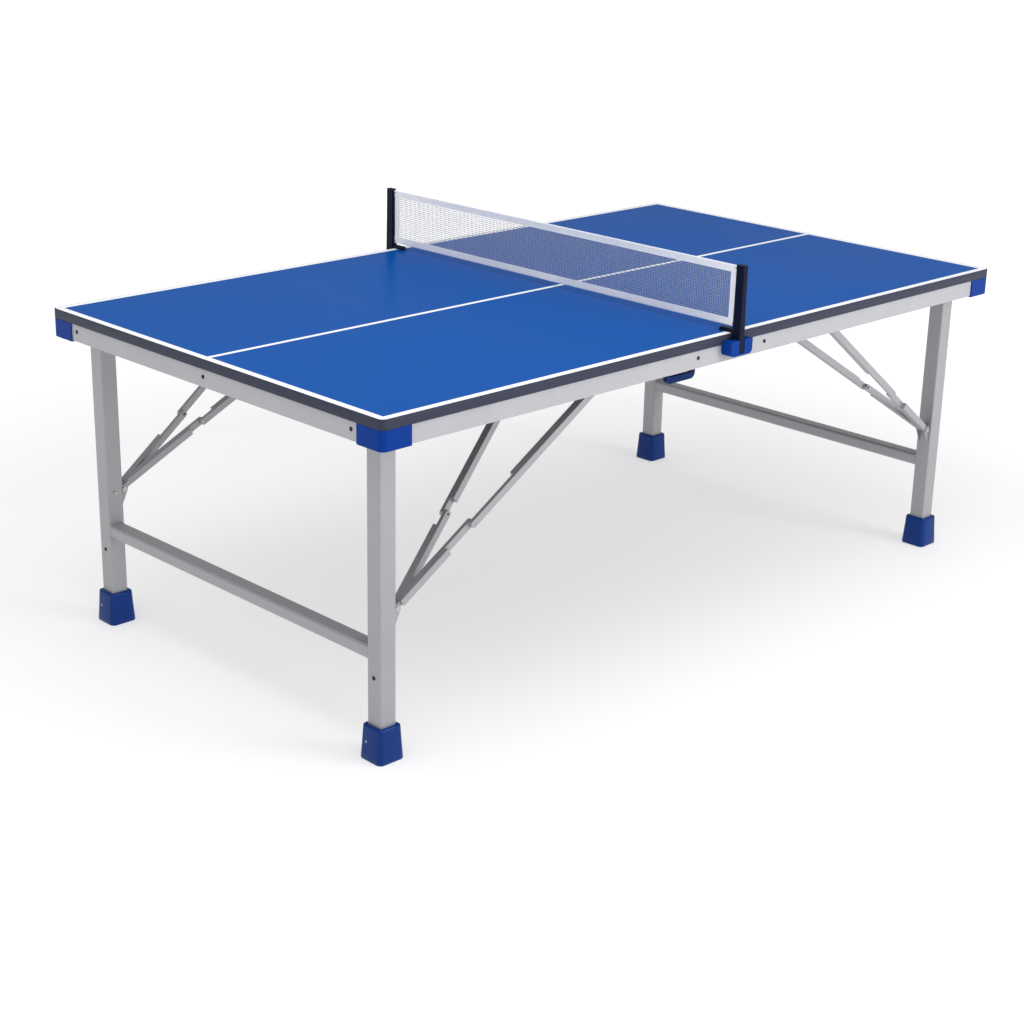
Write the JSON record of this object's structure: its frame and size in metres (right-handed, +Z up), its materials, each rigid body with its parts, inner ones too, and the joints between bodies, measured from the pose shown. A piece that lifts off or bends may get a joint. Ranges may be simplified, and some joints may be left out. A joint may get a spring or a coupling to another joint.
{
  "type": "table tennis table",
  "caption": "Three-quarter size folding table-tennis table with a framed top, square tube legs, V braces, moulded boots and a lift-out net on two posts.",
  "frame": {"origin": "on the floor under the middle of the top", "axes": "+X along the long side, +Y across, +Z up"},
  "size_m": [2.06, 1.2, 0.915],
  "materials": {
    "board": "painted MDF, satin blue lacquer with white lines",
    "edge_band": "extruded PVC edge profile, satin",
    "rail": "light grey powder coat",
    "leg_tube": "silver grey powder coat",
    "brace_tube": "silver grey powder coat",
    "zinc_fasteners": "zinc plated",
    "blue_plastic": "moulded polypropylene, satin",
    "blue_rubber": "moulded soft PVC, satin gloss",
    "post_plastic": "moulded nylon, satin",
    "net_twine": "knotted polyester mesh",
    "net_tape": "woven cotton tape"
  },
  "bodies": {
    "table_top": {"board_left": "board", "board_right": "board", "edge_band_left": "edge_band", "edge_band_right": "edge_band", "side_rail_front_left": "rail", "side_rail_back_left": "rail", "side_rail_front_right": "rail", "side_rail_back_right": "rail", "end_rail_left": "rail", "end_rail_right": "rail", "corner_cap_front_left": "blue_plastic", "corner_cap_back_left": "blue_plastic", "corner_cap_front_right": "blue_plastic", "corner_cap_back_right": "blue_plastic", "centre_beam_left": "rail", "centre_beam_right": "rail", "brace_beam_left": "rail", "brace_beam_right": "rail", "frame_screws": "zinc_fasteners", "leg_hinge_brackets": "brace_tube", "leg_hinge_pins": "zinc_fasteners", "arm_hinge_brackets": "brace_tube", "arm_hinge_pins": "zinc_fasteners", "post_socket_front": "blue_plastic", "post_socket_back": "blue_plastic", "handle_mount": "brace_tube"},
    "leg_frame_left": {"leg_front_left": "leg_tube", "leg_back_left": "leg_tube", "boot_front_left": "blue_rubber", "boot_back_left": "blue_rubber", "stretcher_left": "leg_tube", "top_tube_left": "leg_tube", "brace_brackets_left": "brace_tube", "brace_pins_left": "zinc_fasteners"},
    "brace_forks_left": {"brace_fork_front_left": "brace_tube", "brace_fork_back_left": "brace_tube"},
    "brace_arms_left": {"brace_arms_front_left": "brace_tube", "brace_arms_back_left": "brace_tube", "knee_pins_left": "zinc_fasteners"},
    "leg_frame_right": {"leg_front_right": "leg_tube", "leg_back_right": "leg_tube", "boot_front_right": "blue_rubber", "boot_back_right": "blue_rubber", "stretcher_right": "leg_tube", "top_tube_right": "leg_tube", "brace_brackets_right": "brace_tube", "brace_pins_right": "zinc_fasteners"},
    "brace_forks_right": {"brace_fork_front_right": "brace_tube", "brace_fork_back_right": "brace_tube"},
    "brace_arms_right": {"brace_arms_front_right": "brace_tube", "brace_arms_back_right": "brace_tube", "knee_pins_right": "zinc_fasteners"},
    "net_set": {"net_post_front": "post_plastic", "net_post_back": "post_plastic", "net_mesh": "net_twine", "net_top_tape": "net_tape", "net_binding": "net_tape", "net_hooks": "zinc_fasteners"},
    "handle": {"carry_handle": "blue_plastic"}
  },
  "joints": [
    {"name": "leg_fold_left", "type": "hinge", "parent": "table_top", "child": "leg_frame_left", "pos_m": [-0.957, 0, 0.704], "axis": [0, -1, 0], "range_deg": [0, 90]},
    {"name": "brace_arm_turn_left", "type": "hinge", "parent": "table_top", "child": "brace_arms_left", "pos_m": [-0.36, 0, 0.734], "axis": [0, 1, 0], "range_deg": [0, 35.69]},
    {"name": "brace_fork_turn_left", "type": "hinge", "parent": "leg_frame_left", "child": "brace_forks_left", "pos_m": [-0.927, 0, 0.327], "axis": [0, -1, 0], "range_deg": [0, 54.35]},
    {"name": "leg_fold_right", "type": "hinge", "parent": "table_top", "child": "leg_frame_right", "pos_m": [0.957, 0, 0.704], "axis": [0, 1, 0], "range_deg": [0, 90]},
    {"name": "brace_arm_turn_right", "type": "hinge", "parent": "table_top", "child": "brace_arms_right", "pos_m": [0.36, 0, 0.734], "axis": [0, -1, 0], "range_deg": [0, 35.69]},
    {"name": "brace_fork_turn_right", "type": "hinge", "parent": "leg_frame_right", "child": "brace_forks_right", "pos_m": [0.927, 0, 0.327], "axis": [0, 1, 0], "range_deg": [0, 54.35]},
    {"name": "net_lift", "type": "slide", "parent": "table_top", "child": "net_set", "axis": [0, 0, 1], "range_m": [0, 0.06]},
    {"name": "handle_swing", "type": "hinge", "parent": "table_top", "child": "handle", "pos_m": [-0.1425, -0.5425, 0.713], "axis": [1, 0, 0], "range_deg": [0, 90]}
  ],
  "couplings": [
    {"joint": "brace_arm_turn_left", "follows": "leg_fold_left", "ratio": 0.39635},
    {"joint": "brace_fork_turn_left", "follows": "leg_fold_left", "ratio": 0.60365},
    {"joint": "brace_arm_turn_right", "follows": "leg_fold_right", "ratio": 0.39635},
    {"joint": "brace_fork_turn_right", "follows": "leg_fold_right", "ratio": 0.60365}
  ]
}
